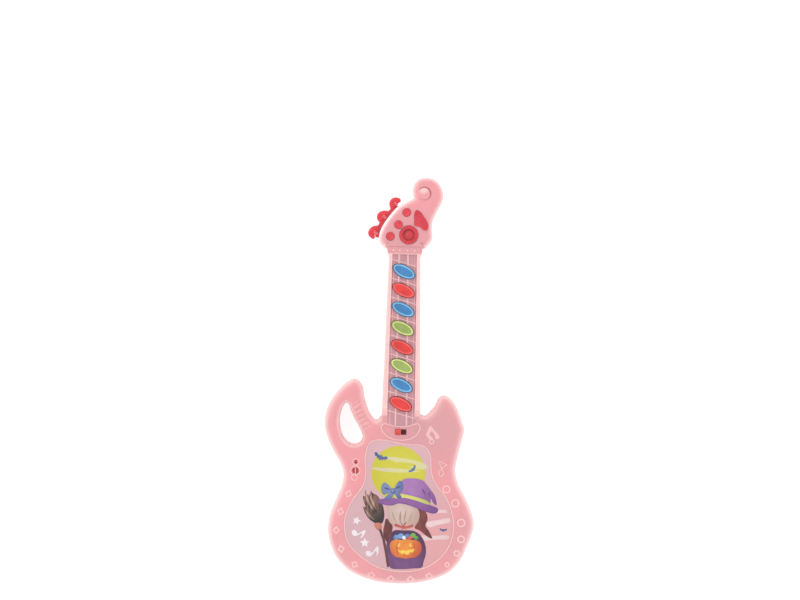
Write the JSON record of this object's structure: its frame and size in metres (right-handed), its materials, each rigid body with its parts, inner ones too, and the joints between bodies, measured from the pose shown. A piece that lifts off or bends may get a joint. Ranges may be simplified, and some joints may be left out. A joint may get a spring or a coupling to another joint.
{
  "type": "toy electric guitar",
  "caption": "Hollow two-shell toy guitar with a finger grip through one horn, spring-back coloured note keys along the neck, a slide switch and a battery door.",
  "frame": {"origin": "on the flat back of the body, on the neck's centreline, under the middle of the body's length", "axes": "+Z out of the front face, +Y along the neck towards the headstock, +X across to the viewer's right"},
  "size_m": [0.1293, 0.3462, 0.029],
  "materials": {
    "pink_plastic": "milky translucent pink moulded ABS, semi-gloss",
    "label_print": "printed film, satin, night-sky picture",
    "key_blue": "semi-gloss moulded plastic",
    "key_red": "semi-gloss moulded plastic",
    "key_green": "semi-gloss moulded plastic",
    "dome_rubber": "silicone rubber",
    "red_plastic": "semi-gloss moulded plastic",
    "knob_red": "semi-gloss moulded plastic",
    "black_plastic": "matt moulded plastic",
    "board_green": "solder-masked board",
    "chip_black": "cured epoxy",
    "steel": "zinc plated",
    "cone_paper": "pressed paper",
    "magnet": "sintered ferrite",
    "cell_jacket": "lacquered steel can"
  },
  "bodies": {
    "guitar": {"front_shell": "pink_plastic", "rear_shell": "pink_plastic", "panel_label": "label_print", "key_dome_1": "dome_rubber", "key_dome_2": "dome_rubber", "key_dome_3": "dome_rubber", "key_dome_4": "dome_rubber", "key_dome_5": "dome_rubber", "key_dome_6": "dome_rubber", "key_dome_7": "dome_rubber", "key_dome_8": "dome_rubber", "tuner_trim": "red_plastic", "rosette": "red_plastic", "fin": "red_plastic", "switch_body": "black_plastic", "key_board": "board_green", "main_board": "board_green", "sound_chip": "chip_black", "speaker_frame": "steel", "speaker_cone": "cone_paper", "speaker_magnet": "magnet", "battery_1": "cell_jacket", "battery_2": "cell_jacket", "contact_bridge": "steel", "contact_plus": "steel", "contact_minus": "steel", "shell_screw_1": "steel", "shell_screw_2": "steel", "shell_screw_3": "steel", "shell_screw_4": "steel", "shell_screw_5": "steel", "shell_screw_6": "steel", "shell_screw_7": "steel", "shell_screw_8": "steel", "board_screw_1": "steel", "board_screw_2": "steel", "board_screw_3": "steel", "board_screw_4": "steel"},
    "key_1": {"key_1": "key_blue"},
    "key_2": {"key_2": "key_red"},
    "key_3": {"key_3": "key_blue"},
    "key_4": {"key_4": "key_green"},
    "key_5": {"key_5": "key_red"},
    "key_6": {"key_6": "key_green"},
    "key_7": {"key_7": "key_blue"},
    "key_8": {"key_8": "key_red"},
    "power_switch": {"switch_knob": "knob_red"},
    "battery_door": {"battery_door": "pink_plastic", "door_screw": "steel"}
  },
  "joints": [
    {"name": "key_1_press", "type": "slide", "parent": "guitar", "child": "key_1", "axis": [0, 0, -1], "range_m": [0, 0.0012], "stiffness_N_per_m": 700, "springref_m": -0.0006, "deforming": ["key_dome_1"]},
    {"name": "key_2_press", "type": "slide", "parent": "guitar", "child": "key_2", "axis": [0, 0, -1], "range_m": [0, 0.0012], "stiffness_N_per_m": 700, "springref_m": -0.0006, "deforming": ["key_dome_2"]},
    {"name": "key_3_press", "type": "slide", "parent": "guitar", "child": "key_3", "axis": [0, 0, -1], "range_m": [0, 0.0012], "stiffness_N_per_m": 700, "springref_m": -0.0006, "deforming": ["key_dome_3"]},
    {"name": "key_4_press", "type": "slide", "parent": "guitar", "child": "key_4", "axis": [0, 0, -1], "range_m": [0, 0.0012], "stiffness_N_per_m": 700, "springref_m": -0.0006, "deforming": ["key_dome_4"]},
    {"name": "key_5_press", "type": "slide", "parent": "guitar", "child": "key_5", "axis": [0, 0, -1], "range_m": [0, 0.0012], "stiffness_N_per_m": 700, "springref_m": -0.0006, "deforming": ["key_dome_5"]},
    {"name": "key_6_press", "type": "slide", "parent": "guitar", "child": "key_6", "axis": [0, 0, -1], "range_m": [0, 0.0012], "stiffness_N_per_m": 700, "springref_m": -0.0006, "deforming": ["key_dome_6"]},
    {"name": "key_7_press", "type": "slide", "parent": "guitar", "child": "key_7", "axis": [0, 0, -1], "range_m": [0, 0.0012], "stiffness_N_per_m": 700, "springref_m": -0.0006, "deforming": ["key_dome_7"]},
    {"name": "key_8_press", "type": "slide", "parent": "guitar", "child": "key_8", "axis": [0, 0, -1], "range_m": [0, 0.0012], "stiffness_N_per_m": 700, "springref_m": -0.0006, "deforming": ["key_dome_8"]},
    {"name": "power_slide", "type": "slide", "parent": "guitar", "child": "power_switch", "axis": [1, 0, 0], "range_m": [0, 0.0044]},
    {"name": "battery_door_hinge", "type": "hinge", "parent": "guitar", "child": "battery_door", "pos_m": [0, -0.0717, 0], "axis": [-1, 0, 0], "range_deg": [0, 100]}
  ]
}
